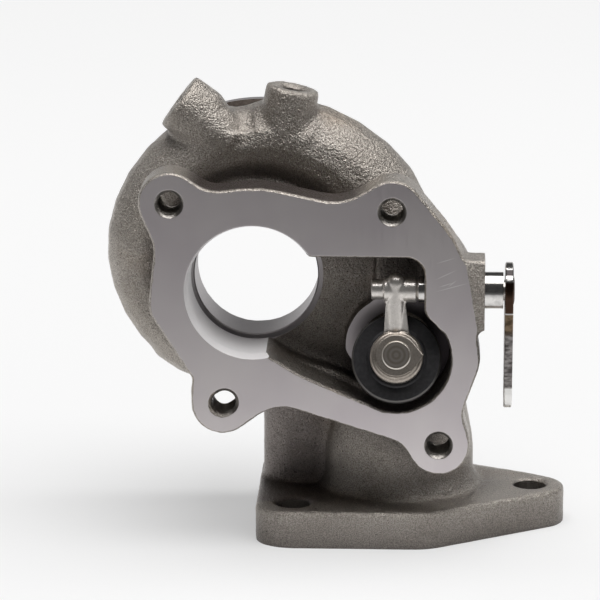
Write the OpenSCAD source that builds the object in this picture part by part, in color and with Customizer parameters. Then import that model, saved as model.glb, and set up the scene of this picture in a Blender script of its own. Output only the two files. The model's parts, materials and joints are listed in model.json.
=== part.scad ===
// Turbine housing of an exhaust turbocharger, with its internal wastegate.
// The turbine axis runs along Y through the origin. The outlet flange faces -Y, and the inlet foot is below.

/* [Outlet flange] */
// Thickness of the outlet flange
flange_t = 14; // [11:0.5:18]
// Radius of the lug round each outlet stud hole
lug_r = 9.9; // [8.5:0.1:11.5]
// Top left stud hole, X and Z
hole_tl = [-25.8, 28]; // [-80:0.1:80]
// Top right stud hole, X and Z
hole_tr = [43.6, 26]; // [-80:0.1:80]
// Lower left stud hole, X and Z
hole_ll = [-8.8, -35.7]; // [-80:0.1:80]
// Lower right stud hole, X and Z
hole_lr = [58.7, -49.1]; // [-80:0.1:80]
// Drilled diameter of the M8 threads
tap_d = 7; // [6.6:0.1:7.4]
// Chamfer at the mouth of each thread
tap_chamfer = 1.05; // [0.3:0.05:1.5]

/* [Turbine bore] */
// Diameter of the bore that the wheel's outlet end runs in
wheel_bore_d = 39.2; // [36:0.1:40]
// Depth of that bore's mouth behind the outlet face
wheel_bore_y = 25; // [22:0.5:28]
// Length of that bore
wheel_bore_len = 17; // [12:0.5:18]
// Length of the flared wheel contour
contour_len = 4.5; // [3:0.5:6]
// Diameter of the large end of the contour
contour_d = 47; // [43:0.5:52]
// Width of the gap that feeds the wheel
nozzle_w = 6.5; // [5:0.5:8]
// Diameter of the gap that feeds the wheel
nozzle_d = 72; // [68:1:74]
// Diameter of the throat in the outlet flange
throat_d = 41; // [39:0.1:42]
// Depth of the throat
throat_depth = 22; // [18:0.5:24]

/* [Rear flange] */
// Distance from the outlet face to the rear face
rear_y = 67; // [64:0.5:72]
// Diameter of the clamp band's rim
rear_rim_d = 99; // [94:0.5:104]
// Width of that rim
rear_rim_w = 3.4; // [2.5:0.1:5]
// Diameter of the groove in front of the rim
rear_neck_d = 87; // [82:0.5:90]
// Diameter of the pilot bore for the centre housing
pilot_d = 60; // [56:0.5:66]

/* [Volute] */
// Y of the plane that the volute winds in
volute_y = 42; // [40:0.5:44]
// Outer radius of the volute at the right, where it starts
volute_r = 59; // [56:0.5:62]
// Radial half width of the volute where it starts
volute_a = 16.5; // [15:0.5:18]
// Axial half width of the volute where it starts
volute_b = 15.6; // [14:0.1:16]
// Radial half width of the volute at its last quarter
tail_a = 8.6; // [8:0.1:10]
// Axial half width of the volute at its last quarter
tail_b = 11; // [10:0.5:12.5]
// Thickness of the cast walls
wall = 4.6; // [4:0.1:5.2]

/* [Inlet neck] */
// X of the wide lobe
neck_x = 45.5; // [43:0.5:48]
// Y of the wide lobe
neck_y = 41.5; // [40:0.5:43]
// Radius of the wide lobe
neck_r = 24.5; // [23:0.5:26]
// Height at which the wide lobe's dome starts
neck_top = -7; // [-12:1:-4]
// X of the rounded end of the web beside it
web_x = 11; // [9:0.2:14]
// Y of the web
web_y = 44; // [42:0.5:44.5]
// Radius of the web's rounded end, half the web's thickness
web_r = 8.4; // [6:0.2:8.6]
// Height of the web's top, inside the volute
web_top = -25; // [-27:0.5:-23]
// Width of the flare where the wide lobe meets the foot
neck_flare = 2.5; // [1:0.5:4]

/* [Inlet foot] */
// Height of the foot's underside
foot_z = -84.5; // [-90:0.5:-82]
// Thickness of the foot
foot_t = 12; // [9:0.5:15]
// Radius of the corner round each foot hole
foot_r = 11.1; // [10:0.1:12]
// Front left hole, X and Y
foot_fl = [12.5, 13.4]; // [0:0.1:100]
// Back left hole, X and Y
foot_bl = [12.5, 61.4]; // [0:0.1:100]
// Right hole, X and Y
foot_rt = [88.6, 37]; // [0:0.1:100]
// Diameter of the foot holes
foot_hole_d = 10.2; // [9:0.1:11.2]
// Length of the straight front and back edges
foot_edge = 43; // [38:1:48]
// How far the inlet port stretches to the left of the round duct above it
port_stretch = 11; // [4:1:12]

/* [Outlet cavity] */
// Height of the cavity's top wall
cavity_top = 11.2; // [10:0.1:12.5]
// X of the cavity's right wall
cavity_right = 53.8; // [52:0.1:54.5]
// Depth of the cavity beside the wheel bore
cavity_depth = 24; // [21:0.5:25]
// Thickness of the wall round the cavity, behind the flange
duct_wall = 6; // [4.5:0.5:7]

/* [Wastegate] */
// X of the valve
gate_x = 45.2; // [44:0.1:46]
// Z of the valve when it is shut
gate_z = -21.2; // [-22.5:0.1:-20.5]
// Depth of the valve seat behind the outlet face
seat_y = 17; // [16:0.1:18]
// Radius of the pocket that the valve swings in
pocket_r = 17.1; // [16.8:0.1:18]
// Diameter of the gas port in the seat
port_d = 23; // [20:0.5:25]
// Y of the shaft
shaft_y = 7; // [6.5:0.1:7.5]
// Z of the shaft
shaft_z = -0.3; // [-1:0.1:0.5]
// Diameter of the shaft
shaft_d = 6.4; // [5.6:0.1:6.8]
// Angle at which the valve stands open
gate_open = 24; // [0:1:40]
// Diameter of the valve disc
disc_d = 28.2; // [26:0.1:29.5]
// Thickness of the valve disc at its rim
disc_t = 4.2; // [3:0.1:5]

/* [Bush and lever] */
// Diameter of the bush outside its shoulder
bush_d = 11.7; // [10.5:0.1:12.5]
// Diameter of the bush's thin inner end
bush_nose_d = 8.4; // [8.2:0.1:9.4]
// Length of the bush outside the casting
bush_out = 5.8; // [4:0.1:7]
// X of the casting's face round the bush
bush_face_x = 72.7; // [71.5:0.1:74]
// Radial running clearance of the shaft in the bush
bush_gap = 0.05; // [0.03:0.01:0.09]
// Thickness of the lever
lever_t = 2.8; // [2:0.1:4]
// Radius of the lever's head
lever_head_r = 9; // [7.5:0.1:10]
// Radius of the lever's end
lever_end_r = 6.5; // [5.5:0.1:8]
// Distance from the shaft to the rod pin's hole
lever_len = 31.3; // [26:0.1:38]
// Diameter of the rod pin's hole
rod_pin_d = 6.2; // [5:0.1:7]

/* [Bolt bosses] */
// Radius from the turbine axis to the middle of each boss face
boss_reach = 59.5; // [58:0.1:62]
// Y of both bosses
boss_y = 36; // [35:0.5:38]
// Diameter of the top boss
top_boss_d = 15.4; // [14:0.1:17]
// Angle of the top boss round the turbine axis
top_boss_angle = 79; // [76:0.5:82]
// Diameter of the left boss
side_boss_d = 17.8; // [16:0.1:19]
// Angle of the left boss's face round the turbine axis
side_boss_angle = 115; // [112:0.5:118]
// Direction that the left boss points in
side_boss_dir = 143.5; // [138:0.5:150]
// Depth of the threads in the bosses
boss_tap_depth = 8; // [6:0.5:9]

/* [Hidden] */
$fn = 72;

eps = 0.01;
over = 1;
arc_step = 12;
iron = [0.40, 0.37, 0.33];
steel = [0.66, 0.64, 0.61];

holes = [hole_tl, hole_tr, hole_lr, hole_ll];
foot_holes = [foot_fl, foot_rt, foot_bl];
foot_top = foot_z + foot_t;
port_r = port_d / 2;
wheel_end = wheel_bore_y + wheel_bore_len;
nozzle_y = wheel_end + contour_len;
nozzle_end = nozzle_y + nozzle_w;
rear_rim_y = rear_y - rear_rim_w;
rear_neck_y = rear_rim_y - (rear_rim_d - rear_neck_d) / 2 * tan(30);
relief_y = 58;
relief_d = rear_rim_d + 12;

// Gas passage inside the neck
duct_x = neck_x + 2;
duct_r = neck_r - wall - 4.4;
duct_y = relief_y - wall - duct_r;
port_z = foot_z - over;
port_end_r = duct_r - 2.5;
loft_top = foot_top + 12.5;
dome_reach = 78;

// Wastegate parts, set out with the valve shut
seat_gap = 0.06;
disc_back = seat_y - seat_gap;
disc_front = disc_back - disc_t;
eye_r = 8;
eye_t = 3.6;
play = 0.1;
shoulder_h = 0.3;
eye_y = disc_front - shoulder_h - play - eye_t;
washer_t = 1.3;
washer_r = 6.7;
washer_point = 8.4;
washer_y = eye_y - play - washer_t;
stem_d = 6.7;
stem_gap = 0.05;
head_d = 9.2;
head_y = washer_y - 0.5;
hub_d = 8.1;
hub_left = gate_x - 4.1;
hub_right = gate_x + 6.1;
stub_left = gate_x - 8.1;
nose_x = hub_right + 0.7;
bush_step_x = cavity_right + 5;
bush_end_x = bush_face_x + bush_out;
lever_x = bush_end_x + 0.5;
weld_h = 0.7;

function unit(v) = v / norm(v);

// One corner b of an outline between a and c, rounded to radius r.
function corner(a, b, c, r) =
    let (u = unit(a - b), v = unit(c - b), half = acos(u * v) / 2)
    let (mid = b + unit(u + v) * r / sin(half), s = b + u * r / tan(half), e = b + v * r / tan(half))
    let (a0 = atan2(s[1] - mid[1], s[0] - mid[0]), a1 = atan2(e[1] - mid[1], e[0] - mid[0]))
    let (turn = (a1 - a0 + 540) % 360 - 180, n = max(2, ceil(abs(turn) / arc_step)))
    r == 0 ? [b] : [for (i = [0:n]) mid + r * [cos(a0 + turn * i / n), sin(a0 + turn * i / n)]];

// Closed outline through [x, y, corner radius] points.
function rounded(pts) =
    let (n = len(pts), p = [for (q = pts) [q[0], q[1]]])
    [for (i = [0:n - 1]) each corner(p[(i + n - 1) % n], p[i], p[(i + 1) % n], pts[i][2])];

// Point at an angle on the circle of a lug, with no rounding.
function on_lug(c, r, angle) = [c[0] + r * cos(angle), c[1] + r * sin(angle), 0];

// Outer radius of the volute at an angle round the turbine axis
function volute_out(phi) = volute_r - 0.04 * phi - 0.0001 * phi * phi;
function volute_half_a(phi) = volute_a + (tail_a - volute_a) * phi / 270;
function volute_half_b(phi) = volute_b + (tail_b - volute_b) * phi / 270;

// One oval section of the volute, made smaller all round by inset
function volute_ring(phi, inset, sides) =
    let (a = volute_half_a(phi) - inset, b = volute_half_b(phi) - inset)
    let (mid = volute_out(phi) - volute_half_a(phi))
    [for (i = [0:sides - 1]) let (t = 360 * i / sides, r = mid + a * cos(t))
        [r * cos(phi), volute_y + b * sin(t), r * sin(phi)]];

// One section of the inlet port: an egg at the foot (k = 0) that draws in to a circle (k = 1)
function port_ring(k, sides) =
    let (left = 1 - k * k * (3 - 2 * k), wide = [duct_x, duct_y])
    let (narrow = wide - [port_stretch * left, 0], r = duct_r + (port_end_r - duct_r) * left)
    [for (i = [0:sides - 1]) let (t = 360 * i / sides, dir = [cos(t), sin(t)])
        let (p = narrow * dir + r > wide * dir + duct_r ? narrow + r * dir : wide + duct_r * dir)
        [p[0], p[1], port_z + (loft_top - port_z) * k]];

// One section of the dome that closes the inlet passage, at an angle up from its equator
function dome_ring(angle, sides) =
    [for (i = [0:sides - 1]) let (t = 360 * i / sides, r = duct_r * cos(angle))
        [duct_x + r * cos(t), duct_y + r * sin(t), neck_top + duct_r * sin(angle)]];

// Closed skin through rings of points, each with the same number of sides
module skin(pts, rings, sides) {
    ends = [[for (i = [0:sides - 1]) i], [for (i = [sides - 1:-1:0]) rings * sides + i]];
    walls = [for (k = [0:rings - 1], i = [0:sides - 1])
        let (j = (i + 1) % sides, a = k * sides, b = a + sides)
        each [[a + i, b + i, b + j], [a + i, b + j, a + j]]];
    polyhedron(points = pts, faces = concat(ends, walls), convexity = 6);
}

module volute_sweep(from, to, rings, sides, inset) {
    pts = [for (k = [0:rings]) each volute_ring(from + (to - from) * k / rings, inset, sides)];
    skin(pts, rings, sides);
}

module inlet_passage(port_rings, dome_rings, sides) {
    port = [for (k = [0:port_rings]) each port_ring(k / port_rings, sides)];
    dome = [for (k = [0:dome_rings]) each dome_ring(dome_reach * k / dome_rings, sides)];
    skin(concat(port, dome), port_rings + dome_rings + 1, sides);
}

// Shapes drawn in X and Z become solids that run back from y.
module along_y(y, length) {
    translate([0, y + length, 0]) rotate([90, 0, 0]) linear_extrude(length) children();
}

module rod_y(x, z, y, length, r) {
    translate([x, y, z]) rotate([-90, 0, 0]) cylinder(h = length, r = r);
}

module rod_x(x, y, z, length, r) {
    translate([x, y, z]) rotate([0, 90, 0]) cylinder(h = length, r = r);
}

// A profile of radius against Y turned about the turbine axis
module turned(profile) {
    rotate([-90, 0, 0]) rotate_extrude() polygon(profile);
}

// Upright cylinder with a domed top
module domed(x, y, z, top, r) {
    translate([x, y, z]) rotate_extrude() {
        square([r, top - z]);
        intersection() {
            translate([0, top - z]) circle(r);
            translate([0, top - z - eps]) square([r, r + eps]);
        }
    }
}

module flange_outline() {
    polygon(rounded([
        on_lug(hole_tl, lug_r, 56),
        [-13.7, 31.8, 10],
        [2.8, 33.6, 30],
        [27.9, 28.1, 16],
        on_lug(hole_tr, lug_r, 117),
        on_lug(hole_tr, lug_r, 40),
        [65.5, 15, 30],
        [71.9, -22.2, 12],
        [66, -38.6, 6],
        on_lug(hole_lr, lug_r, 10),
        on_lug(hole_lr, lug_r, 210),
        [46.9, -48.6, 8],
        [7.3, -36.1, 12],
        on_lug(hole_ll, lug_r, -57),
        on_lug(hole_ll, lug_r, 172),
        [-18.9, -28.5, 6],
        [-32.8, -6.5, 8],
        [-30.6, 14.3, 10],
        on_lug(hole_tl, lug_r, 205)
    ]));
}

module cavity_outline() {
    polygon(rounded([
        [0, cavity_top, 0],
        [cavity_right, cavity_top, 5.5],
        [cavity_right, gate_z, 0],
        [gate_x, gate_z - pocket_r + 1, 0],
        [34.5, -35.2, 0],
        [15, -26.6, 20],
        [4, -20, 0],
        [0, -8, 0]
    ]));
}

module flange() {
    along_y(0, flange_t) flange_outline();
    for (h = holes) rod_y(h[0], h[1], 0, flange_t, lug_r);
    translate([cavity_right, 0.6, shaft_z - 12]) cube([bush_face_x - cavity_right, 12.8, 22.8]);
}

// Casting round the outlet cavity, from the flange back to the volute
module duct_body() {
    along_y(flange_t - 3, volute_y - flange_t - 5) offset(r = duct_wall) {
        cavity_outline();
        translate([gate_x, gate_z]) circle(pocket_r - duct_wall / 3);
        circle(d = throat_d);
    }
    rod_y(0, 0, flange_t - 3, rear_neck_y - flange_t, throat_d / 2 + 8);
}

module foot_outline() {
    polygon(rounded([
        on_lug(foot_fl, foot_r, 180),
        on_lug(foot_fl, foot_r, -90),
        [foot_fl[0] + foot_edge, foot_fl[1] - foot_r, 16],
        on_lug(foot_rt, foot_r, -58),
        on_lug(foot_rt, foot_r, 58),
        [foot_bl[0] + foot_edge, foot_bl[1] + foot_r, 16],
        on_lug(foot_bl, foot_r, 90),
        on_lug(foot_bl, foot_r, 180)
    ]));
}

module foot() {
    translate([0, 0, foot_z]) linear_extrude(foot_t) foot_outline();
    for (h = foot_holes) translate([h[0], h[1], foot_z]) cylinder(h = foot_t, r = foot_r);
}

module neck() {
    domed(neck_x, neck_y, foot_z + over, neck_top, neck_r);
    translate([neck_x, neck_y, foot_top - over])
        cylinder(h = 2 * neck_flare + over, r1 = neck_r + neck_flare, r2 = neck_r - 0.2);
    translate([0, 0, foot_z + over]) linear_extrude(web_top - foot_z - over) polygon(rounded([
        [web_x - web_r, web_y - web_r, web_r - 0.2],
        [neck_x, web_y - web_r, 0],
        [neck_x, web_y + web_r, 0],
        [web_x - web_r, web_y + web_r, web_r - 0.2]
    ]));
}

module boss(angle, dir, d) {
    length = 21;
    translate([boss_reach * cos(angle), boss_y, boss_reach * sin(angle)])
        rotate([0, -90 - dir, 0]) cylinder(h = length, d = d);
}

module boss_thread(angle, dir) {
    translate([boss_reach * cos(angle), boss_y, boss_reach * sin(angle)]) rotate([0, -90 - dir, 0]) {
        cylinder(h = boss_tap_depth, d = tap_d);
        translate([0, 0, -eps]) cylinder(h = tap_chamfer, d1 = tap_d + 2 * tap_chamfer, d2 = tap_d);
    }
}

module rear_flange() {
    turned([
        [0, nozzle_end - over],
        [rear_neck_d / 2, nozzle_end - over],
        [rear_neck_d / 2, rear_neck_y],
        [rear_rim_d / 2, rear_rim_y],
        [rear_rim_d / 2, rear_y],
        [0, rear_y]
    ]);
}

// Room for the clamp band round the rear flange
module clamp_relief() {
    turned([
        [rear_neck_d / 2, relief_y],
        [relief_d / 2, relief_y],
        [relief_d / 2, rear_y + over],
        [rear_neck_d / 2, rear_y + over]
    ]);
}

module turbine_passage() {
    turned([
        [0, -over],
        [throat_d / 2, -over],
        [throat_d / 2, throat_depth],
        [wheel_bore_d / 2 + 0.9, wheel_bore_y],
        [wheel_bore_d / 2, wheel_bore_y],
        [wheel_bore_d / 2, wheel_end],
        [contour_d / 2, nozzle_y],
        [nozzle_d / 2, nozzle_y],
        [nozzle_d / 2, nozzle_end],
        [pilot_d / 2, nozzle_end],
        [pilot_d / 2, rear_y + over],
        [0, rear_y + over]
    ]);
}

module outlet_cavity() {
    along_y(-over, seat_y + over) {
        cavity_outline();
        translate([gate_x, gate_z]) circle(pocket_r);
    }
    along_y(seat_y - over, cavity_depth - seat_y + over) difference() {
        intersection() {
            cavity_outline();
            translate([0, -50]) square([gate_x - 7, 100]);
        }
        translate([gate_x, gate_z]) circle(pocket_r - 0.6);
    }
    rod_y(gate_x, gate_z, seat_y - over, duct_y - seat_y, port_r);
}

module gas_passage() {
    volute_sweep(-35, 262, 27, 14, wall);
    inlet_passage(6, 5, 24);
}

module threads() {
    for (h = holes) {
        rod_y(h[0], h[1], -over, flange_t + 2 * over, tap_d / 2);
        translate([h[0], -eps, h[1]]) rotate([-90, 0, 0])
            cylinder(h = tap_chamfer, d1 = tap_d + 2 * tap_chamfer, d2 = tap_d);
    }
    for (h = foot_holes) translate([h[0], h[1], foot_z - over]) cylinder(h = foot_t + 2 * over, d = foot_hole_d);
    boss_thread(top_boss_angle, top_boss_angle);
    boss_thread(side_boss_angle, side_boss_dir);
}

module bush_bore() {
    rod_x(cavity_right - over, shaft_y, shaft_z, bush_step_x - cavity_right + 2 * over, bush_nose_d / 2);
    rod_x(bush_step_x, shaft_y, shaft_z, bush_face_x - bush_step_x + over, bush_d / 2);
}

module housing() {
    color(iron) difference() {
        union() {
            difference() {
                union() {
                    flange();
                    duct_body();
                    volute_sweep(-35, 325, 32, 16, 0);
                    neck();
                    foot();
                    boss(top_boss_angle, top_boss_angle, top_boss_d);
                    boss(side_boss_angle, side_boss_dir, side_boss_d);
                }
                clamp_relief();
            }
            rear_flange();
        }
        turbine_passage();
        outlet_cavity();
        gas_passage();
        threads();
        bush_bore();
    }
}

// Turns what is drawn with the valve shut to where the valve stands.
module swung() {
    translate([0, shaft_y, shaft_z]) rotate([-gate_open, 0, 0]) translate([0, -shaft_y, -shaft_z]) children();
}

module shaft_bush() {
    color(steel) difference() {
        union() {
            rod_x(nose_x, shaft_y, shaft_z, bush_step_x - nose_x + eps, bush_nose_d / 2);
            rod_x(bush_step_x, shaft_y, shaft_z, bush_end_x - bush_step_x, bush_d / 2);
        }
        rod_x(nose_x - over, shaft_y, shaft_z, bush_end_x - nose_x + 2 * over, shaft_d / 2 + bush_gap);
    }
}

module gate_arm() {
    color(steel) swung() difference() {
        union() {
            rod_x(stub_left, shaft_y, shaft_z, lever_x + lever_t - stub_left, shaft_d / 2);
            rod_x(hub_left, shaft_y, shaft_z, hub_right - hub_left, hub_d / 2);
            rod_y(gate_x, gate_z, eye_y, eye_t, eye_r);
            arm_neck();
        }
        rod_y(gate_x, gate_z, eye_y - over, eye_t + 2 * over, stem_d / 2 + stem_gap);
    }
}

// The web from the hub down to the eye, wider towards the eye
module arm_neck() {
    intersection() {
        translate([gate_x - eye_r, 0, 0]) rotate([90, 0, 90]) linear_extrude(2 * eye_r) polygon([
            [shaft_y - hub_d / 2, shaft_z],
            [shaft_y + hub_d / 2, shaft_z],
            [eye_y + eye_t, gate_z + eye_r],
            [eye_y + eye_t, gate_z],
            [eye_y, gate_z],
            [eye_y, gate_z + washer_point + 0.4]
        ]);
        along_y(-20, 60) polygon([
            [gate_x - 3, shaft_z + 1],
            [gate_x + 2, shaft_z + 1],
            [gate_x + 2.4, gate_z + 11],
            [gate_x + 4.2, gate_z + 6],
            [gate_x + 4.2, gate_z],
            [gate_x - 4.2, gate_z],
            [gate_x - 4.2, gate_z + 6],
            [gate_x - 2.6, gate_z + 11]
        ]);
    }
}

module valve_disc() {
    color([0.15, 0.15, 0.16]) swung() {
        translate([gate_x, disc_front, gate_z]) rotate([-90, 0, 0]) rotate_extrude() polygon([
            [0, head_y - disc_front],
            [head_d / 2 - 0.4, head_y - disc_front],
            [head_d / 2, head_y - disc_front + 0.4],
            [head_d / 2, washer_y - disc_front],
            [stem_d / 2, washer_y - disc_front],
            [stem_d / 2, -shoulder_h],
            [eye_r + 1, -shoulder_h],
            [eye_r + 1.6, 0],
            [disc_d / 2 - 0.5, 0],
            [disc_d / 2, 0.5],
            [disc_d / 2, disc_t - 0.8],
            [disc_d / 2 - 0.8, disc_t],
            [0, disc_t]
        ]);
    }
}

module valve_washer() {
    color([0.43, 0.40, 0.36]) swung() difference() {
        union() {
            rod_y(gate_x, gate_z, washer_y, washer_t, washer_r);
            along_y(washer_y, washer_t) polygon([
                [gate_x + washer_r * 0.52, gate_z + washer_r * 0.85],
                [gate_x + washer_point, gate_z + 0.9],
                [gate_x + washer_r * 0.74, gate_z - washer_r * 0.67],
                [gate_x, gate_z]
            ]);
        }
        rod_y(gate_x, gate_z, washer_y - over, washer_t + 2 * over, stem_d / 2 + stem_gap);
    }
}

// Outline round a circle and a smaller one straight below it, with the tangents between them
function belt(top, top_r, low, low_r, steps) =
    let (lean = asin((top_r - low_r) / (top[1] - low[1])))
    concat(
        [for (i = [0:steps]) let (t = -lean + (180 + 2 * lean) * i / steps) top + top_r * [cos(t), sin(t)]],
        [for (i = [0:steps]) let (t = 180 + lean + (180 - 2 * lean) * i / steps) low + low_r * [cos(t), sin(t)]]
    );

module lever_outline() {
    polygon(belt([shaft_y, shaft_z], lever_head_r, [shaft_y, shaft_z - lever_len], lever_end_r, 16));
}

module lever() {
    color([0.45, 0.42, 0.40]) difference() {
        translate([lever_x, 0, 0]) rotate([90, 0, 90]) linear_extrude(lever_t) lever_outline();
        rod_x(lever_x - over, shaft_y, shaft_z, lever_t + 2 * over, shaft_d / 2);
        rod_x(lever_x - over, shaft_y, shaft_z - lever_len, lever_t + 2 * over, rod_pin_d / 2);
    }
}

module lever_weld() {
    color([0.30, 0.25, 0.22]) translate([lever_x + lever_t, shaft_y, shaft_z]) rotate([0, 90, 0])
        rotate_extrude() polygon([
            [0, 0],
            [shaft_d / 2 + 1.6, 0],
            [shaft_d / 2 + 1.2, weld_h * 0.6],
            [shaft_d / 2 + 0.3, weld_h],
            [0, weld_h]
        ]);
}

housing();
shaft_bush();
gate_arm();
valve_disc();
valve_washer();
lever();
lever_weld();
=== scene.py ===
# Looks of a turbine housing: sand-cast iron, machined faces and bores, and a small wastegate mechanism.
import json
import math

import bmesh
import bpy
import numpy as np
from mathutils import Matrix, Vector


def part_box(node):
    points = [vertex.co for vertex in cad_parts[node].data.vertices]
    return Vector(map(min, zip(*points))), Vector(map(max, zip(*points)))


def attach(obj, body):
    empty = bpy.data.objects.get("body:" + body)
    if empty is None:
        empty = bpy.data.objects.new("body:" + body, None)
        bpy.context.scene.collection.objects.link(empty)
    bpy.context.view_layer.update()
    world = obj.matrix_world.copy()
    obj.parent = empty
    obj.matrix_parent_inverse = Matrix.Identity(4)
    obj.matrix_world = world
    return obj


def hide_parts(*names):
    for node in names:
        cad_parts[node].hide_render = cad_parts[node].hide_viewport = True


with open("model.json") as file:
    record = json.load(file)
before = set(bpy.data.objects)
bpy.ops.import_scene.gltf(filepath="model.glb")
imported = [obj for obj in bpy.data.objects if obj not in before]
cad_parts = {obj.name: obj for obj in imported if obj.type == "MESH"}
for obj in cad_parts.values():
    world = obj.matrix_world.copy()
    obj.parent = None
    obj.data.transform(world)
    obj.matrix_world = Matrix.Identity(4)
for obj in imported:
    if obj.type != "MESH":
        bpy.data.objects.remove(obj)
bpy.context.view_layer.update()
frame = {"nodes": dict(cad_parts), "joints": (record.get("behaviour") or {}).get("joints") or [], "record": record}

import openvdb
from mathutils import Matrix, Vector, noise

MM = 0.001

# Places and sizes that the record gives, in mm
mounts = {m["name"]: m for m in frame["record"]["mounts"]}
joints = {j["name"]: j for j in frame["joints"]}
housing_high = np.array(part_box("housing")[1]) / MM
lever_low, lever_high = [np.array(v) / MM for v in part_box("lever")]


def at(name):
    return np.array(mounts[name]["pos_m"]) / MM


def way(name):
    return np.array(mounts[name]["axis"])


def radius(name):
    return mounts[name]["dims"]["r_mm"]


def length(name):
    return mounts[name]["dims"]["length_mm"]


studs = [n for n in mounts if n.startswith("outlet_stud")]
foot_bolts = [n for n in mounts if n.startswith("inlet_bolt")]
bosses = [n for n in mounts if n.startswith("heat_shield_boss")]
foot_z = at("inlet_face")[2]
rear_y = at("rear_face")[1]
shaft = np.array(joints["gate_hinge"]["pos_m"]) / MM
stem = np.array(joints["valve_spin"]["pos_m"]) / MM
stem_axis = Vector(joints["valve_spin"]["axis"])

# Sizes of the casting, in mm
tap_chamfer = 1.05
flange_t = 14.0
throat_r = 20.5
throat_y = 22.0
mouth = (0.1, 0, -0.2)
mouth_r = 21.75
mouth_end_r = 20.55
mouth_end = 3.4
groove_r = 21.5
groove_end = 24.6
wheel_chamfer = 0.4
wheel_front = 25.0
wheel_back = 42.0
wheel_flare_r = 23.5
nozzle_y = 46.5
nozzle_end = 53.0
nozzle_r = 36.0
pilot_chamfer = 0.8
rim_r = 49.5
rim_y = 63.6
groove_floor_r = 43.5
groove_y = 60.14
relief_y = 58.0
relief_r = 55.5
pocket = np.array([45.2, 0.0, -21.2])
pocket_r = 17.1
seat_y = 17.0
port_r = 11.5
pad_x = 72.7
pad_low = (54.8, 0.75, -11.8)
pad_high_y = 13.2
pad_high_z = 10.6
bush_start_x = 52.0
bush_step_x = 58.8
bush_r = 5.88
nose_r = 4.25

# Sizes of the wastegate, in mm
disc_r = 14.1
head_r = 4.6
eye_r = 8.4
eye_front = 8.74
eye_back = 12.34
shaft_r = 3.2
hub_r = 4.05
ridge_r = 3.1
lever_edge = 0.3
pin_chamfer = 2.3

# How the raw casting is made, in mm
stock = 1.2
face_stock = 0.3
boss_stock = 0.2
skim = 0.12
voxel = 0.65
fillet = 1.3
edge_round = 0.65

# Scratches on the flange's face, each from x, z to x, z in mm
scratches = [
    (58.2, 10.0, 62.6, 11.4), (57.9, 4.9, 62.9, 7.3), (58.9, 2.4, 62.2, 3.5), (58.6, 1.1, 66.4, 3.3),
    (61.5, 2.6, 63.5, 4.2),
]
scratch_half = 0.12


# Materials

def new_material(name, color, metallic, roughness):
    mat = bpy.data.materials.new(name)
    mat.use_nodes = True
    tree = mat.node_tree
    shader = tree.nodes["Principled BSDF"]
    shader.inputs["Base Color"].default_value = (*color, 1.0)
    shader.inputs["Metallic"].default_value = metallic
    shader.inputs["Roughness"].default_value = roughness
    return mat, tree, shader


def node(tree, kind, **values):
    n = tree.nodes.new(kind)
    for key, value in values.items():
        if key in n.inputs:
            n.inputs[key].default_value = value
        else:
            setattr(n, key.lower(), value)
    return n


def object_coords(tree):
    return tree.nodes.new("ShaderNodeTexCoord").outputs["Object"]


def stretched(tree, scale):
    """Object coordinates scaled by a different amount on each axis."""
    n = node(tree, "ShaderNodeMapping")
    n.inputs["Scale"].default_value = scale
    tree.links.new(object_coords(tree), n.inputs["Vector"])
    return n.outputs["Vector"]


def grain(tree, size_mm, detail=2.0, roughness=0.6, coords=None):
    """Noise whose features are about size_mm across."""
    n = node(tree, "ShaderNodeTexNoise", Scale=1 / (size_mm * MM), Detail=detail, Roughness=roughness)
    tree.links.new(coords or object_coords(tree), n.inputs["Vector"])
    return n.outputs["Fac"]


def ramp(tree, source, low, high, from_value, to_value):
    n = node(tree, "ShaderNodeMapRange")
    for name, value in (("From Min", low), ("From Max", high), ("To Min", from_value), ("To Max", to_value)):
        n.inputs[name].default_value = value
    tree.links.new(source, n.inputs["Value"])
    return n.outputs["Result"]


def mix(tree, factor, a, b):
    n = tree.nodes.new("ShaderNodeMix")
    n.data_type = "RGBA"
    for socket, value in ((n.inputs["Factor"], factor), (n.inputs["A"], a), (n.inputs["B"], b)):
        if isinstance(value, bpy.types.NodeSocket):
            tree.links.new(value, socket)
        elif isinstance(value, (float, int)):
            socket.default_value = value
        else:
            socket.default_value = (*value, 1.0)
    return n.outputs["Result"]


def math_node(tree, operation, a, b=0.0):
    n = node(tree, "ShaderNodeMath", Operation=operation)
    for socket, value in zip(n.inputs, (a, b)):
        if isinstance(value, bpy.types.NodeSocket):
            tree.links.new(value, socket)
        else:
            socket.default_value = value
    return n.outputs["Value"]


def bevel(tree, radius_mm):
    """A normal that rounds sharp edges in the light."""
    n = node(tree, "ShaderNodeBevel", Radius=radius_mm * MM)
    n.samples = 4
    return n.outputs["Normal"]


def bump(tree, shader, heights, last=None):
    """Stacks bumps, each a height source with its depth in mm and its strength."""
    for source, depth_mm, strength in heights:
        n = node(tree, "ShaderNodeBump", Strength=strength, Distance=depth_mm * MM)
        tree.links.new(source, n.inputs["Height"])
        if last:
            tree.links.new(last, n.inputs["Normal"])
        last = n.outputs["Normal"]
    tree.links.new(last, shader.inputs["Normal"])


def recess_shade(tree, reach_mm, power):
    """1 on open surfaces, less in creases and recesses: the mask for painted shade there."""
    n = node(tree, "ShaderNodeAmbientOcclusion", Distance=reach_mm * MM)
    n.samples = 8
    return math_node(tree, "POWER", n.outputs["AO"], power)


def part_of(tree, vector, axis):
    n = node(tree, "ShaderNodeSeparateXYZ")
    tree.links.new(vector, n.inputs["Vector"])
    return n.outputs[axis]


def place_on(tree, axis):
    """Distance along an axis of the frame, in m."""
    return part_of(tree, object_coords(tree), axis)


def between(tree, source, low, high, soft):
    """1 between two values in mm, with soft ends."""
    rise = ramp(tree, source, (low - soft) * MM, low * MM, 0, 1)
    return math_node(tree, "MULTIPLY", rise, ramp(tree, source, high * MM, (high + soft) * MM, 1, 0))


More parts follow.
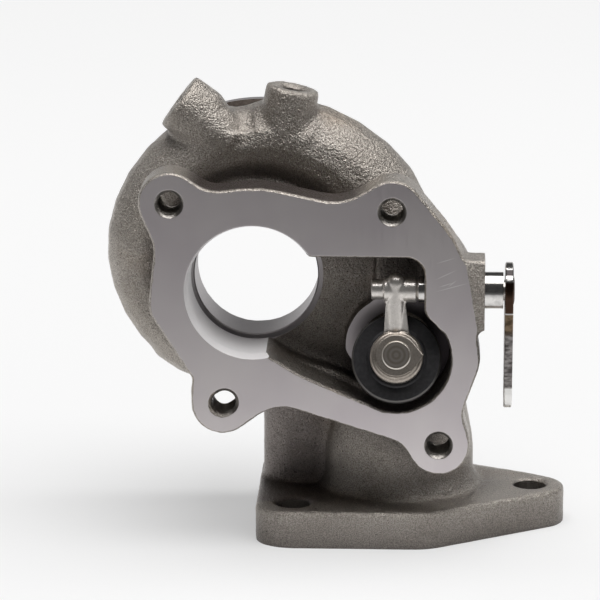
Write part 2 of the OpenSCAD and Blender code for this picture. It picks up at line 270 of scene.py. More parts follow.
def within(tree, area, sides):
    """Narrows an area to a soft box, each side given as axis, low, high and softness in mm."""
    for axis, low, high, soft in sides:
        area = math_node(tree, "MULTIPLY", between(tree, place_on(tree, axis), low, high, soft), area)
    return area


def flange_top_shade(tree):
    """The upward side of the outlet flange between its two lugs, where painted shade darkens the iron."""
    upward = part_of(tree, tree.nodes.new("ShaderNodeNewGeometry").outputs["Normal"], "Z")
    area = ramp(tree, upward, 0.3, 0.8, 0, 1)
    return within(tree, area, (("X", -17, 31, 6), ("Y", 1.6, 17, 1.2), ("Z", 14, 60, 6)))


def web_painted_shade(tree):
    """The web beside the neck, darker than the rest: painted shade."""
    return within(tree, 0.55, (("X", -12, 20, 5), ("Y", 15, 70, 2), ("Z", -80, -36, 6)))


def cast_iron():
    """Blasted sand casting: a fine glittering grain, brown patches, and painted shade in creases and recesses, on
    the web and on the flange's top side.
    """
    mat, tree, shader = new_material("cast_iron", (0.3, 0.27, 0.24), 1.0, 0.4)
    fine = grain(tree, 0.38, 2, 0.6)
    sand = grain(tree, 0.82, 3, 0.65)
    cloud = grain(tree, 22, 2)
    rust = grain(tree, 34, 3)
    tone = mix(tree, ramp(tree, cloud, 0.35, 0.65, 0, 1), (0.46, 0.42, 0.375), (0.57, 0.525, 0.475))
    tone = mix(tree, ramp(tree, fine, 0.42, 0.58, 0, 0.65), tone, (0.17, 0.15, 0.135))
    tone = mix(tree, ramp(tree, rust, 0.56, 0.72, 0, 0.3), tone, (0.38, 0.28, 0.19))
    # Painted shade on the web beside the neck
    tone = mix(tree, web_painted_shade(tree), tone, (0.20, 0.17, 0.17))
    # Painted shade, near-black, in creases and recesses
    tone = mix(tree, recess_shade(tree, 14, 1.3), (0.05, 0.042, 0.042), tone)
    # Painted shade on the flange's upward side
    tone = mix(tree, flange_top_shade(tree), tone, (0.09, 0.075, 0.07))
    tree.links.new(tone, shader.inputs["Base Color"])
    tree.links.new(ramp(tree, sand, 0.3, 0.7, 0.26, 0.40), shader.inputs["Roughness"])
    bump(tree, shader, [(sand, 0.62, 1.0), (fine, 0.22, 0.9)], bevel(tree, 0.25))
    return mat


def machined_face():
    """A milled face with its cutter marks and a few scratches."""
    mat, tree, shader = new_material("machined_face", (0.6, 0.56, 0.57), 1.0, 0.34)
    marks = grain(tree, 0.5, 3, 0.7, stretched(tree, (1.0, 1.0, 0.04)))
    cloud = grain(tree, 30, 2)
    tone = mix(tree, ramp(tree, cloud, 0.35, 0.65, 0, 1), (0.64, 0.59, 0.605), (0.70, 0.655, 0.655))
    for ends in scratches:
        tone = mix(tree, stroke(tree, *ends), tone, (0.95, 0.92, 0.92))
    tree.links.new(tone, shader.inputs["Base Color"])
    tree.links.new(ramp(tree, marks, 0.3, 0.7, 0.28, 0.38), shader.inputs["Roughness"])
    bump(tree, shader, [(marks, 0.012, 0.35)], bevel(tree, 0.35))
    return mat


def stroke(tree, x0, z0, x1, z1):
    """1 along a scratch on the flange's face, from one point to another in mm."""
    along = Vector((x1 - x0, 0, z1 - z0))
    across = Vector((along.z, 0, -along.x))
    centre = Vector((x0 + x1, 0, z0 + z1)) / 2
    away = node(tree, "ShaderNodeVectorMath", Operation="SUBTRACT")
    tree.links.new(object_coords(tree), away.inputs[0])
    away.inputs[1].default_value = centre * MM
    area = 0.95
    for direction, half in ((along.normalized(), along.length / 2), (across.normalized(), scratch_half)):
        n = node(tree, "ShaderNodeVectorMath", Operation="DOT_PRODUCT")
        tree.links.new(away.outputs["Vector"], n.inputs[0])
        n.inputs[1].default_value = direction
        far = math_node(tree, "ABSOLUTE", n.outputs["Value"])
        area = math_node(tree, "MULTIPLY", ramp(tree, far, half * 0.4 * MM, half * 1.4 * MM, 1, 0), area)
    return area


def seat_metal_with_shade():
    """Bare metal round the port, darker on its right with painted shade."""
    mat, tree, shader = new_material("seat_metal_with_shade", (0.5, 0.47, 0.48), 1.0, 0.4)
    # Painted shade on the right of the seat
    side = ramp(tree, place_on(tree, "X"), 42 * MM, 54 * MM, 0, 1)
    tree.links.new(mix(tree, side, (0.52, 0.48, 0.49), (0.07, 0.06, 0.065)), shader.inputs["Base Color"])
    return mat


def machined_bore():
    """Pale and matt in the throat, darker and glossier from the wheel bore inwards."""
    mat, tree, shader = new_material("machined_bore", (0.6, 0.57, 0.58), 1.0, 0.36)
    marks = grain(tree, 0.4, 2)
    depth = ramp(tree, place_on(tree, "Y"), throat_y * MM, groove_end * MM, 0, 1)
    tree.links.new(mix(tree, depth, (0.90, 0.88, 0.88), (0.40, 0.375, 0.38)), shader.inputs["Base Color"])
    tree.links.new(mix(tree, depth, (0.25, 0.25, 0.25), (1, 1, 1)), shader.inputs["Metallic"])
    rough = math_node(tree, "ADD", ramp(tree, marks, 0.3, 0.7, 0.34, 0.46), ramp(tree, depth, 0, 1, 0.16, 0))
    tree.links.new(rough, shader.inputs["Roughness"])
    bump(tree, shader, [(marks, 0.02, 0.3)], bevel(tree, 0.25))
    return mat


def steel(name, color, roughness, grain_mm, depth_mm):
    """Plain metal with darker spots of a given size, which stand proud by a given depth."""
    mat, tree, shader = new_material(name, color, 1.0, roughness)
    spots = grain(tree, grain_mm, 3)
    dark = [0.7 * c for c in color]
    tree.links.new(mix(tree, ramp(tree, spots, 0.4, 0.7, 0, 1), color, dark), shader.inputs["Base Color"])
    tree.links.new(
        ramp(tree, spots, 0.3, 0.7, roughness * 0.8, min(1, roughness * 1.25)), shader.inputs["Roughness"]
    )
    bump(tree, shader, [(spots, depth_mm, 0.5)], bevel(tree, 0.2))
    return mat


def lever_steel():
    """Sheared plate: painted reflections, light, dark and light, on the head's round top, heat-tinted and then
    mottled below it, clean again at the end.
    """
    mat, tree, shader = new_material("lever_steel", (0.30, 0.27, 0.25), 1.0, 0.3)
    marks = grain(tree, 1.5, 3, 0.65, stretched(tree, (0.45, 0.45, 1.3)))
    patches = ramp(tree, marks, 0.40, 0.60, 0, 1)
    height = place_on(tree, "Z")
    tone = mix(tree, patches, (0.09, 0.08, 0.078), (0.34, 0.32, 0.31))
    gold = mix(tree, patches, (0.10, 0.07, 0.045), (0.24, 0.175, 0.115))
    brown, bare_and_glint, black = (0.075, 0.043, 0.03), (0.72, 0.70, 0.68), (0.03, 0.027, 0.027)
    # The bands from 4.2 mm up are painted reflections on the head's round top: light, dark, light
    bands = (
        (-12.4, 1.2, gold), (-6.1, 0.1, bare_and_glint), (-5.7, 0.1, brown), (4.2, 0.3, bare_and_glint), (5.9, 0.15, black),
        (7.5, 0.15, bare_and_glint),
    )
    for edge, soft, color in bands:
        tone = mix(tree, ramp(tree, height, (edge - soft) * MM, (edge + soft) * MM, 0, 1), tone, color)
    tone = mix(tree, ramp(tree, height, -30.6 * MM, -30.2 * MM, 1, 0), tone, (0.82, 0.81, 0.79))
    tree.links.new(tone, shader.inputs["Base Color"])
    tree.links.new(ramp(tree, height, 0, 4 * MM, 0.34, 0.16), shader.inputs["Roughness"])
    bump(tree, shader, [(patches, 0.03, 0.4)], bevel(tree, 0.3))
    return mat


def from_stem(tree):
    """Distance from the valve's axis, and height along it from the disc's face, in m."""
    away = node(tree, "ShaderNodeVectorMath", Operation="SUBTRACT")
    tree.links.new(object_coords(tree), away.inputs[0])
    away.inputs[1].default_value = stem * MM
    height = node(tree, "ShaderNodeVectorMath", Operation="DOT_PRODUCT")
    tree.links.new(away.outputs["Vector"], height.inputs[0])
    height.inputs[1].default_value = stem_axis
    along = node(tree, "ShaderNodeVectorMath", Operation="SCALE")
    along.inputs[0].default_value = stem_axis
    tree.links.new(height.outputs["Value"], along.inputs["Scale"])
    flat = node(tree, "ShaderNodeVectorMath", Operation="DISTANCE")
    tree.links.new(away.outputs["Vector"], flat.inputs[0])
    tree.links.new(along.outputs["Vector"], flat.inputs[1])
    return flat.outputs["Value"], height.outputs["Value"]


def turning_marks(tree, distance, pitch_mm):
    """Rings round the stem, from 0 to 1 and back once each pitch."""
    angle = math_node(tree, "MULTIPLY", distance, 2 * math.pi / (pitch_mm * MM))
    return ramp(tree, math_node(tree, "SINE", angle), -1, 1, 0, 1)


def valve_iron():
    """A near-black disc with a painted highlight at its rim, and a brown rivet head."""
    mat, tree, shader = new_material("valve_iron", (0.05, 0.05, 0.053), 0.9, 0.42)
    distance, height = from_stem(tree)
    spots = grain(tree, 1.2, 3)
    disc = mix(tree, ramp(tree, spots, 0.35, 0.65, 0, 1), (0.048, 0.047, 0.049), (0.066, 0.064, 0.067))
    # Painted highlight just inside the disc's rim
    rim_highlight = ramp(tree, distance, (disc_r - 0.62) * MM, (disc_r - 0.45) * MM, 0, 1)
    disc = mix(tree, rim_highlight, disc, (0.14, 0.135, 0.13))
    head = mix(tree, turning_marks(tree, distance, 1.5), (0.26, 0.23, 0.20), (0.36, 0.325, 0.29))
    bright = ramp(tree, distance, (head_r - 0.55) * MM, (head_r - 0.35) * MM, 0, 1)
    head = mix(tree, bright, head, (0.72, 0.68, 0.62))
    on_head = ramp(tree, height, 4.4 * MM, 4.6 * MM, 0, 1)
    tree.links.new(mix(tree, on_head, disc, head), shader.inputs["Base Color"])
    tree.links.new(ramp(tree, on_head, 0, 1, 0.46, 0.34), shader.inputs["Roughness"])
    bump(tree, shader, [(spots, 0.03, 0.4)], bevel(tree, 0.25))
    return mat


def arm_steel():
    """Satin steel, browner on the eye round the valve's stem."""
    mat, tree, shader = new_material("arm_steel", (0.6, 0.57, 0.53), 0.8, 0.3)
    distance, height = from_stem(tree)
    spots = grain(tree, 0.8, 3)
    tone = mix(tree, ramp(tree, spots, 0.35, 0.7, 0, 1), (0.80, 0.76, 0.72), (0.68, 0.645, 0.605))
    eye = ramp(tree, distance, (eye_r - 0.2) * MM, (eye_r + 0.9) * MM, 1, 0)
    brown = mix(tree, ramp(tree, spots, 0.35, 0.7, 0, 1), (0.46, 0.41, 0.36), (0.34, 0.30, 0.26))
    tone = mix(tree, eye, tone, brown)
    tree.links.new(tone, shader.inputs["Base Color"])
    tree.links.new(ramp(tree, spots, 0.3, 0.7, 0.26, 0.36), shader.inputs["Roughness"])
    bump(tree, shader, [(spots, 0.02, 0.4)])
    return mat


# Meshes in mm

BOX_FACES = [(0, 1, 3, 2), (4, 6, 7, 5), (0, 4, 5, 1), (2, 3, 7, 6), (0, 2, 6, 4), (1, 5, 7, 3)]


def link(name, data):
    ob = bpy.data.objects.new(name, data)
    bpy.context.scene.collection.objects.link(ob)
    return ob


def piece_from(name, points, faces, mat):
    """An object from points in mm."""
    mesh = bpy.data.meshes.new(name)
    mesh.from_pydata((np.asarray(points) * MM).tolist(), [], [list(f) for f in faces])
    mesh.materials.append(mat)
    mesh.update()
    return link(name, mesh)


def closed(name, points, faces, mat):
    """An object from a closed surface in mm, its faces turned outward."""
    ob = piece_from(name, points, faces, mat)
    outward(ob.data)
    return ob


def revolve(name, profile, base, axis, mat, sides=96):
    """Turns [radius, height] points about an axis through base. A radius of 0 makes a pole."""
    turn = np.array(Vector((0, 0, 1)).rotation_difference(Vector(axis)).to_matrix())
    points, rings = [], []
    for r, h in profile:
        if r < 1e-9:
            rings.append([len(points)] * sides)
            points.append((0, 0, h))
        else:
            rings.append(list(range(len(points), len(points) + sides)))
            turns = [2 * math.pi * k / sides for k in range(sides)]
            points += [(r * math.cos(t), r * math.sin(t), h) for t in turns]
    faces = []
    for a, b in zip(rings, rings[1:] + rings[:1]):
        for k in range(sides):
            j = (k + 1) % sides
            face = list(dict.fromkeys([a[k], a[j], b[j], b[k]]))
            if len(face) > 2:
                faces.append(face)
    return closed(name, np.array(points) @ turn.T + np.array(base), faces, mat)


def block(name, low, high, mat):
    corners = [(x, y, z) for x in (low[0], high[0]) for y in (low[1], high[1]) for z in (low[2], high[2])]
    return closed(name, corners, BOX_FACES, mat)


def outward(mesh):
    bm = bmesh.new()
    bm.from_mesh(mesh)
    bmesh.ops.recalc_face_normals(bm, faces=bm.faces)
    if bm.calc_volume(signed=True) < 0:
        bmesh.ops.reverse_faces(bm, faces=bm.faces)
    bm.to_mesh(mesh)
    bm.free()


def triangles_of(mesh):
    """A mesh's points in mm and its triangles."""
    mesh.calc_loop_triangles()
    points = np.empty(len(mesh.vertices) * 3)
    mesh.vertices.foreach_get("co", points)
    triangles = np.empty(len(mesh.loop_triangles) * 3, np.int32)
    mesh.loop_triangles.foreach_get("vertices", triangles)
    return points.reshape(-1, 3) / MM, triangles.reshape(-1, 3)


def grown(points, faces, by, size):
    """The surface that lies a true distance outside (or inside) a closed surface."""
    grid = openvdb.FloatGrid.createLevelSetFromPolygons(
        points.astype(np.float32),
        transform=openvdb.createLinearTransform(voxelSize=size),
        halfWidth=abs(by) / size + 3,
        **{"quads" if faces.shape[1] == 4 else "triangles": faces.astype(np.uint32)},
    )
    points, quads = grid.convertToQuads(isovalue=by)
    return points.astype(float), quads.astype(np.int64)


def joined(parts):
    """Closed surfaces put together, each given as points and triangles or as an object that it takes."""
    points, triangles, count = [], [], 0
    for part in parts:
        if isinstance(part, bpy.types.Object):
            arrays = triangles_of(part.data)
            bpy.data.objects.remove(part)
        else:
            arrays = part
        points.append(arrays[0])
        triangles.append(arrays[1] + count)
        count += len(arrays[0])
    return np.vstack(points), np.vstack(triangles)


def blended(parts, blend, edge, size):
    """One surface round all the parts, with fillets of radius blend and edges of radius edge."""
    points, triangles = joined(parts)
    points, quads = grown(points, triangles, blend, size)
    points, quads = grown(points, quads, -blend - edge, size)
    return grown(points, quads, edge, size)


def relaxed(points, quads, rounds):
    """Moves each point towards the mean of its neighbours."""
    edges = np.vstack([quads[:, [k, (k + 1) % 4]] for k in range(4)])
    edges = np.vstack([edges, edges[:, ::-1]])
    count = np.bincount(edges[:, 0], minlength=len(points))[:, None]
    for _ in range(rounds):
        total = np.column_stack([
            np.bincount(edges[:, 0], points[edges[:, 1], k], len(points)) for k in range(3)
        ])
        points = points + 0.5 * (total / count - points)
    return points


def cut(ob, tools):
    """Subtracts tools, whose material stays on the faces that they leave."""
    for tool in tools:
        mod = ob.modifiers.new(tool.name, "BOOLEAN")
        mod.object = tool
        mod.operation = "DIFFERENCE"
        mod.solver = "MANIFOLD"
        mod.material_mode = "TRANSFER"
    graph = bpy.context.evaluated_depsgraph_get()
    mesh = bpy.data.meshes.new_from_object(ob.evaluated_get(graph))
    ob.modifiers.clear()
    ob.data = mesh
    for tool in tools:
        bpy.data.objects.remove(tool)


def smooth_shaded(ob, angle):
    ob.data.polygons.foreach_set("use_smooth", [True] * len(ob.data.polygons))
    ob.data.set_sharp_from_angle(angle=math.radians(angle))
    ob.data.update()


# The casting

def ease(value, low, high):
    """Rises smoothly from 0 at low to 1 at high."""
    t = np.clip((value - low) / (high - low), 0, 1)
    return t * t * (3 - 2 * t)


def as_cast(points):
    """Small departures of the raw casting from its drawn form."""
    p = points.copy()
    x, y, z = points.T
    out = np.hypot(x, z)
    angle = np.degrees(np.arctan2(z, x)) % 360

    # The volute sinks between the bosses, and swells a little on the left
    band = ease(y, 22, 30) * (1 - ease(y, 58.2, 59.5)) * ease(out, 44.5, 49)
    radial = -2.6 * np.exp(-((angle - 97) / 11) ** 2) * (1 - ease(out, 54.5, 57))
    radial += 0.5 * np.exp(-((angle - 175) / 26) ** 2) + 0.7 * np.exp(-((angle - 33) / 13) ** 2)
    shift = band * radial / np.maximum(out, 1)
    p[:, 0] += x * shift
    p[:, 2] += z * shift

    # The neck narrows upwards, and its crease leans
    height = ease(z, -62, -42) * (1 - ease(z, -30, -22))
    behind = ease(y, 14.5, 17)
    p[:, 0] -= 2.7 * height * ease(x, 52, 68) * behind
    p[:, 0] += 3.8 * height * ease(x, 11, 21) * (1 - ease(x, 24, 42)) * (1 - ease(y, 36, 40)) * behind

    # The web and the foot reach a little further left
    p[:, 0] -= 1.2 * (1 - ease(x, 2, 12)) * (1 - ease(z, -32, -27))

    # The lower left lug sits low
    hole = at("outlet_stud_lower_left")
    lug = (1 - ease(np.hypot(x - hole[0], z - hole[2]), 11, 20)) * (1 - behind) * ease(out, 24, 28)
    p[:, 0] += 0.45 * lug
    p[:, 2] -= 0.5 * lug

    # The bosses are stouter
    for name, wider in zip(bosses, (0.9, 0.7)):
        axis = way(name)
        rise = (points - at(name)) @ axis
        away = points - at(name) - rise[:, None] * axis
        far = np.linalg.norm(away, axis=1)
        amount = wider * ease(rise, -20, -13) * (1 - ease(far, 10, 12)) * ease(far, 4.5, 6)
        p += away * (amount / np.maximum(far, 1))[:, None]
    return p


def with_stock(points):
    """Moves the faces that get machined out by the stock that the cutters take off."""
    p = points.copy()
    near = 0.03
    p[points[:, 1] < near, 1] -= face_stock
    p[points[:, 2] < foot_z + near, 2] -= stock
    out = np.hypot(points[:, 0], points[:, 2])
    p[(points[:, 1] > rear_y - near) & (out < rim_r + 1), 1] += stock
    rim = (out > rim_r - near) & (points[:, 1] > rim_y - 1)
    p[rim, 0] *= 1 + stock / rim_r
    p[rim, 2] *= 1 + stock / rim_r
    pad = (abs(points[:, 0] - pad_x) < near) & (points[:, 1] < flange_t)
    pad &= (points[:, 2] > -14) & (points[:, 2] < 12)
    p[pad, 0] += stock
    for name in bosses:
        rise = (points - at(name)) @ way(name)
        away = np.linalg.norm(points - at(name) - rise[:, None] * way(name), axis=1)
        p[(rise > tap_chamfer - near) & (away < 12)] += way(name) * boss_stock
    seat = np.hypot(points[:, 0] - pocket[0], points[:, 2] - pocket[2]) < pocket_r + near
    p[seat & (abs(points[:, 1] - seat_y) < near), 1] -= stock
    return p


def sand_texture(points, quads):
    """Pushes each point along its normal by a soft, irregular height, as sand moulds leave."""
    a, b, c, d = (points[quads[:, k]] for k in range(4))
    face_normals = np.cross(c - a, d - b)
    normals = np.column_stack([
        sum(np.bincount(quads[:, k], face_normals[:, axis], len(points)) for k in range(4))
        for axis in range(3)
    ])
    normals /= np.linalg.norm(normals, axis=1)[:, None] + 1e-12
    height = np.array([
        0.07 * noise.noise(Vector(p) * 0.42) + 0.05 * noise.noise(Vector(p) * 0.9 + Vector((7, 3, 1)))
        for p in points
    ])
    return points + normals * height[:, None]


def housing_tools(groove, face, bore, seat, thread):
    """The cutters, each with the material that it leaves. They reach a few mm past the casting."""
    tools = [
        block("front_cut", (-80, -9, -110), (130, 0, 90), face),
        block("foot_cut", (-20, -20, foot_z - 9), (130, 90, foot_z), face),
        block("pad_cut", (pad_x, -3, -16), (pad_x + 6, 16.5, 14), face),
    ]
    y = (0, 1, 0)
    tools.append(revolve("rear_cut", [
        (0, rear_y), (rim_r, rear_y), (rim_r, rim_y), (relief_r, rim_y), (relief_r, rear_y + 5),
        (0, rear_y + 5),
    ], (0, 0, 0), y, bore, 160))
    tools.append(revolve("groove_cut", [
        (rim_r, rim_y), (groove_floor_r - skim, groove_y), (groove_floor_r - skim, relief_y + skim),
        (relief_r, relief_y + skim), (relief_r, rim_y + 0.1), (rim_r, rim_y + 0.1),
    ], (0, 0, 0), y, groove, 160))
    wheel_r, pilot_r = radius("wheel_bore") + skim, radius("pilot_bore") + skim
    tools.append(revolve("turbine_cut", [
        (0, -6), (throat_r + skim, -6), (throat_r + skim, throat_y), (groove_r, throat_y + 0.5),
        (groove_r, groove_end), (wheel_r + wheel_chamfer, wheel_front), (wheel_r, wheel_front + wheel_chamfer),
        (wheel_r, wheel_back), (wheel_flare_r + skim, nozzle_y - skim), (nozzle_r + skim, nozzle_y - skim),
        (nozzle_r + skim, nozzle_end + skim), (pilot_r, nozzle_end + skim), (pilot_r, rear_y - pilot_chamfer),
        (pilot_r + pilot_chamfer, rear_y), (pilot_r + pilot_chamfer, rear_y + 6), (0, rear_y + 6),
    ], (0, 0, 0), y, bore, 256))
    tools.append(revolve("throat_chamfer", [
        (0, -1), (mouth_r, -1), (mouth_end_r, mouth_end), (0, mouth_end),
    ], mouth, y, bore, 128))
    tools.append(revolve("pocket_cut", [
        (0, -6), (pocket_r - 0.4, -6), (pocket_r - 0.4, seat_y), (port_r + skim, seat_y),
        (port_r + skim, seat_y + 7), (0, seat_y + 7),
    ], pocket, y, seat, 128))
    for name in studs:
        x, _, z = at(name)
        profile = thread_profile(radius(name), -4, flange_t + 5)
        tools.append(revolve(name + "_cut", profile, (x, 0, z), y, thread, 48))
    for name in foot_bolts:
        x, y0, _ = at(name)
        r = radius(name) + skim
        tools.append(revolve(name + "_cut", [
            (0, foot_z - 4), (r, foot_z - 4), (r, foot_z + 16), (0, foot_z + 16),
        ], (x, y0, 0), (0, 0, 1), thread, 64))
    for name in bosses:
        r, deep = radius(name), length(name)
        profile = [(0, -deep - 3), (r, -deep - 1)] + thread_rings(r, -deep, -1)
        profile += [(r + 0.1, 0), (r + 0.1, 2), (0, 2)]
        base = at(name) + way(name) * tap_chamfer
        tools.append(revolve(name + "_tap", profile, base, way(name), thread, 48))
    tools.append(revolve("bush_cut", [
        (0, bush_start_x), (nose_r, bush_start_x), (nose_r, bush_step_x), (bush_r, bush_step_x),
        (bush_r, pad_x + 4), (0, pad_x + 4),
    ], (0, shaft[1], shaft[2]), (1, 0, 0), bore, 64))
    return tools


def thread_rings(r, start, end):
    """The V grooves of an M8 thread."""
    pitch, depth = 1.25, 0.45
    count = int((end - start) / pitch)
    points = []
    for k in range(count):
        h = start + k * pitch
        points += [(r, h), (r + depth, h + pitch / 2)]
    return points + [(r, start + count * pitch)]


def thread_profile(r, low, high):
    chamfer = [(0, low), (r + tap_chamfer + 3, low), (r + tap_chamfer, 0), (r, tap_chamfer)]
    return chamfer + thread_rings(r, tap_chamfer + 0.2, flange_t - 0.6) + [(r, high), (0, high)]


def casting(iron, face, bore, seat, thread):
    points, triangles = triangles_of(frame["nodes"]["housing"].data)
    low = (pad_low[0], pad_low[1], shaft[2] + pad_low[2])
    pad = block("pad", low, (pad_x + stock, pad_high_y, shaft[2] + pad_high_z), iron)
    points, quads = blended([(with_stock(points), triangles), pad], fillet, edge_round, voxel)
    points = relaxed(as_cast(points), quads, 3)
    points = np.minimum(sand_texture(points, quads), housing_high)
    ob = closed("casting", points, quads, iron)
    groove = steel("groove_iron", (0.09, 0.075, 0.065), 0.6, 0.8, 0.1)
    cut(ob, housing_tools(groove, face, bore, seat, thread))
    smooth_shaded(ob, 32)
    plain = [ob.data.materials.find(mat.name) for mat in (face, bore)]
    for polygon in ob.data.polygons:
        if polygon.material_index in plain:
            polygon.use_smooth = False
    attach(ob, "casting")
    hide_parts("housing")


# The wastegate

# How far the gate stands open, and the height of the valve's axis when it is shut
gate_open = math.atan2(stem_axis[2], -stem_axis[1])
arm = stem - shaft
shut_z = shaft[2] + arm[2] * math.cos(gate_open) + arm[1] * math.sin(gate_open)


def swung(points):
    """Turns points drawn with the valve shut to where it stands."""
    turn = np.array(Matrix.Rotation(-gate_open, 3, "X"))
    return (points - shaft) @ turn.T + shaft


def capsule(a, b, r, mat):
    """A bar with round ends, whose centres are a and b."""
    a, b = np.array(a), np.array(b)
    span = np.linalg.norm(b - a)
    arc = [math.radians(t) for t in range(0, 91, 10)]
    profile = [(r * math.sin(t), -r * math.cos(t)) for t in arc]
    profile += [(r * math.cos(t), span + r * math.sin(t)) for t in arc]
    return revolve("capsule", profile, a, b - a, mat, 40)


def wedge(low, high, mat):
    """A block between two rectangles, each [x from, x to, y from, y to, z]."""
    corners = [(x, y, r[4]) for r in (low, high) for x in r[:2] for y in r[2:4]]
    return closed("wedge", corners, BOX_FACES, mat)


def placed(name, points, quads, mat, body):
    ob = closed(name + "_look", points, quads, mat)
    smooth_shaded(ob, 40)
    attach(ob, body)
    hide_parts(name)


def bar(name, r, start, end, mat, sides):
    """A round bar on the shaft's axis, from one x to another."""
    profile = [(0, start), (r, start), (r, end), (0, end)]
    return revolve(name, profile, (0, shaft[1], shaft[2]), (1, 0, 0), mat, sides)


def gate_arm(mat):
    """Shaft, hub, plate and eye, with a round ridge down the plate's front."""
    x, z = stem[0], shut_z
    top = np.array([x - 0.4, 2.2, shaft[2] + 0.3])
    low = np.array([x - 0.4, eye_front, z + 8.5])
    down = (low - top) / np.linalg.norm(low - top)
    inward = ridge_r * np.array([0, -down[2], down[1]])
    eye = [
        (0, eye_front), (6.9, eye_front), (7.1, eye_front + 0.45), (7.8, eye_front + 0.55),
        (8.0, eye_front + 1.0), (eye_r, eye_front + 1.2), (eye_r, eye_back), (0, eye_back),
    ]
    plate_low = (x - 4.15, x + 4.15, eye_front + 1.9, eye_back, z + 5.5)
    plate_high = (x - 3.4, x + 2.6, 5.6, 10.4, shaft[2] - 2.6)
    parts = [
        revolve("eye", eye, (x, 0, z), (0, 1, 0), mat, 96),
        wedge(plate_low, plate_high, mat),
        capsule(top + inward, low + inward, ridge_r, mat),
        bar("hub", hub_r, x - 4.1, x + 6.1, mat, 72),
        bar("shaft", shaft_r, x - 8.1, lever_high[0], mat, 64),
    ]
    points, quads = blended(parts, 0.35, 0.2, 0.2)
    placed("gate_arm", swung(relaxed(points, quads, 1)), quads, mat, "gate")


def washer(mat):
    """A round plate with one corner that points right."""
    x, z = stem[0], shut_z
    front, back = eye_front - 1.4, eye_front - 0.1
    corner = [(4.5, 5.1), (8.6, 0.2), (4.9, -5.2), (0, 0)]
    count = len(corner)
    points = [(x + a, y, z + b) for y in (front, back) for a, b in corner]
    faces = [tuple(range(count)), tuple(range(2 * count - 1, count - 1, -1))]
    faces += [(k, k + count, (k + 1) % count + count, (k + 1) % count) for k in range(count)]
    point = closed("point", points, faces, mat)
    profile = [(0, front), (6.5, front), (6.7, front + 0.2), (6.7, back), (0, back)]
    disc = revolve("disc", profile, (x, 0, z), (0, 1, 0), mat, 96)
    points, quads = blended([disc, point], 0.15, 0.12, 0.14)
    placed("valve_washer", swung(points), quads, mat, "valve")


def lever_ring(x, inset, head, foot, low_z):
    """The lever's outline at one x: radius head round the shaft, and radius foot round the pin."""
    y, z = shaft[1], shaft[2]
    lean = math.asin((head - foot) / (z - low_z))
    upper = [-lean + (math.pi + 2 * lean) * k / 40 for k in range(41)]
    lower = [math.pi + lean + (math.pi - 2 * lean) * k / 40 for k in range(41)]
    ring = [(x, y + (head - inset) * math.cos(t), z + (head - inset) * math.sin(t)) for t in upper]
    return ring + [(x, y + (foot - inset) * math.cos(t), low_z + (foot - inset) * math.sin(t)) for t in lower]


def lever(mat, weld):
    y, z = shaft[1], shaft[2]
    low_z = at("lever_pin_hole")[2]
    head, foot = lever_high[2] - z, low_z - lever_low[2]
    left, right = lever_low[0] + 0.02, lever_high[0] - 0.2
    steps = ((left, lever_edge), (left + lever_edge, 0), (right - lever_edge, 0), (right, lever_edge))
    rings = [lever_ring(x, inset, head, foot, low_z) for x, inset in steps]
    count = len(rings[0])
    faces = [tuple(range(count)), tuple(range(4 * count - 1, 3 * count - 1, -1))]
    for first in range(0, 3 * count, count):
        for k in range(count):
            j = (k + 1) % count
            faces.append((first + k, first + count + k, first + count + j, first + j))
    ob = closed("lever_look", sum(rings, []), faces, mat)
    pin_r, start, end = radius("lever_pin_hole"), left - 2, right + 2
    pin = [
        (0, start), (pin_r + pin_chamfer, start), (pin_r, left + lever_edge), (pin_r, right - lever_edge),
        (pin_r + pin_chamfer, end), (0, end),
    ]
    cut(ob, [
        revolve("pin", pin, (0, y, low_z), (1, 0, 0), mat, 64), bar("eye", shaft_r, start, end, mat, 64),
    ])
    smooth_shaded(ob, 32)
    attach(ob, "gate")
    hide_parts("lever")
    profile = [(0, right - 0.1), (4.7, right - 0.1), (4.3, right + 0.25), (3.3, right + 0.45), (0, right + 0.4)]
    bead = revolve("lever_weld_look", profile, (0, y, z), (1, 0, 0), weld, 64)
    smooth_shaded(bead, 50)
    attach(bead, "gate")
    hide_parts("lever_weld")


# Stage

softbox = (0.2, -0.09, 0.9)
softbox_size = (1.25, 0.87)
softbox_power = 15.7
floor_white = 0.835
floor_shade = 0.4
floor_reach = 6000


def softbox_light():
    data = bpy.data.lights.new("softbox", "AREA")
    data.shape = "RECTANGLE"
    data.size, data.size_y = softbox_size
    data.energy = softbox_power
    ob = link("softbox", data)
    ob.location = softbox
    ob.rotation_euler = Vector((0, 0, -softbox[2])).to_track_quat("-Z", "Y").to_euler()


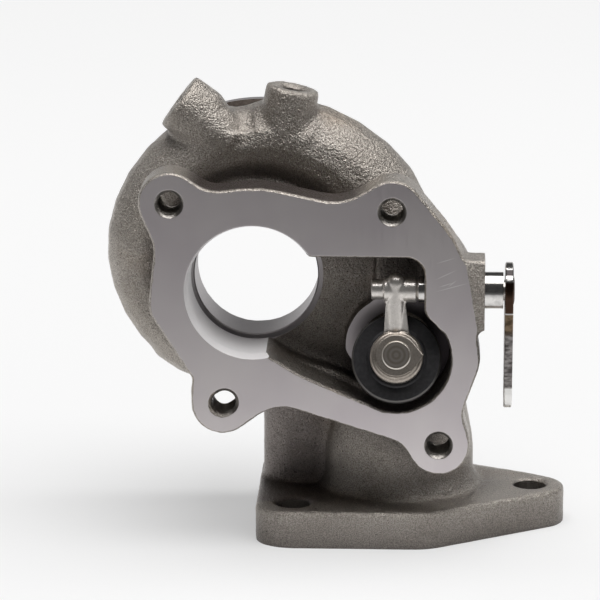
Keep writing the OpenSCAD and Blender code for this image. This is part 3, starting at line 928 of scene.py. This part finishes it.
def floor_material():
    """A white table: it takes a soft shadow, stays white far behind, and is dark in front of the part."""
    mat, tree, shader = new_material("floor", (0.4, 0.4, 0.4), 0.0, 0.9)

    # The flange's face mirrors the floor in front of it
    x, y = place_on(tree, "X"), place_on(tree, "Y")
    left = ramp(tree, y, -0.42, -0.12, 0.26, 0.62)
    right = ramp(tree, y, -0.40, -0.09, 0.06, 1.0)
    front = mix(tree, ramp(tree, x, -0.06, 0.04, 0, 1), left, right)
    front = mix(tree, ramp(tree, y, -0.13, -0.06, 0, 1), front, (1, 1, 1))

    # The glow makes up for the softbox's fall-off, so that the table is evenly white
    from_light = node(tree, "ShaderNodeVectorMath", Operation="DISTANCE")
    tree.links.new(object_coords(tree), from_light.inputs[0])
    from_light.inputs[1].default_value = (softbox[0] / 2, softbox[1], foot_z * MM)
    lit = math_node(tree, "DIVIDE", from_light.outputs["Value"], softbox[2] - foot_z * MM)
    lit = math_node(tree, "ADD", math_node(tree, "POWER", lit, 2.0), 1.0)
    lit = math_node(tree, "POWER", lit, -2.0)
    glow = math_node(tree, "SUBTRACT", floor_white, math_node(tree, "MULTIPLY", lit, floor_shade))
    tree.links.new(math_node(tree, "MULTIPLY", glow, front), shader.inputs["Emission Strength"])
    shader.inputs["Emission Color"].default_value = (1, 1, 1, 1)
    tree.links.new(mix(tree, front, (0.03, 0.03, 0.03), (0.4, 0.4, 0.4)), shader.inputs["Base Color"])
    return mat


def stage():
    corners = [(floor_reach * x, floor_reach * y, foot_z) for x, y in ((-1, -1), (1, -1), (1, 1), (-1, 1))]
    floor = piece_from("floor", corners, [(0, 1, 2, 3)], floor_material())

    # A dim studio, brighter low behind the part
    world = bpy.data.worlds.new("studio")
    world.use_nodes = True
    tree = world.node_tree
    look = tree.nodes.new("ShaderNodeTexCoord").outputs["Generated"]
    back = ramp(tree, part_of(tree, look, "Y"), 0.2, 0.8, 0, 1)
    near_horizon = ramp(tree, part_of(tree, look, "Z"), 0.1, 0.45, 0.75, 0)
    light = math_node(tree, "ADD", math_node(tree, "MULTIPLY", back, near_horizon), 0.05)
    tree.links.new(light, tree.nodes["Background"].inputs["Strength"])
    tree.nodes["Background"].inputs["Color"].default_value = (1, 1, 1, 1)
    bpy.context.scene.world = world
    softbox_light()


def camera():
    data = bpy.data.cameras.new("camera")
    data.sensor_width = 36
    data.lens = 211.2
    data.clip_end = 50
    ob = link("camera", data)
    ob.location = (0.0578, -1.0665, 0.2638)
    aim = Vector((0.015, 0, -0.0023))
    ob.rotation_euler = (aim - ob.location).to_track_quat("-Z", "Y").to_euler()
    bpy.context.scene.camera = ob


camera()
stage()
bpy.context.scene.view_settings.view_transform = "Standard"

thread = steel("thread", (0.30, 0.28, 0.26), 0.4, 0.6, 0.03)
casting(cast_iron(), machined_face(), machined_bore(), seat_metal_with_shade(), thread)
gate_arm(arm_steel())
washer(steel("washer_steel", (0.42, 0.375, 0.33), 0.36, 0.7, 0.03))
lever(lever_steel(), steel("weld_steel", (0.14, 0.11, 0.10), 0.5, 0.9, 0.1))

finishes = {
    "shaft_bush": steel("bush_steel", (0.74, 0.72, 0.70), 0.14, 2.5, 0.003),
    "valve_disc": valve_iron(),
}
for name, mat in finishes.items():
    ob = frame["nodes"][name]
    ob.data.materials.clear()
    ob.data.materials.append(mat)
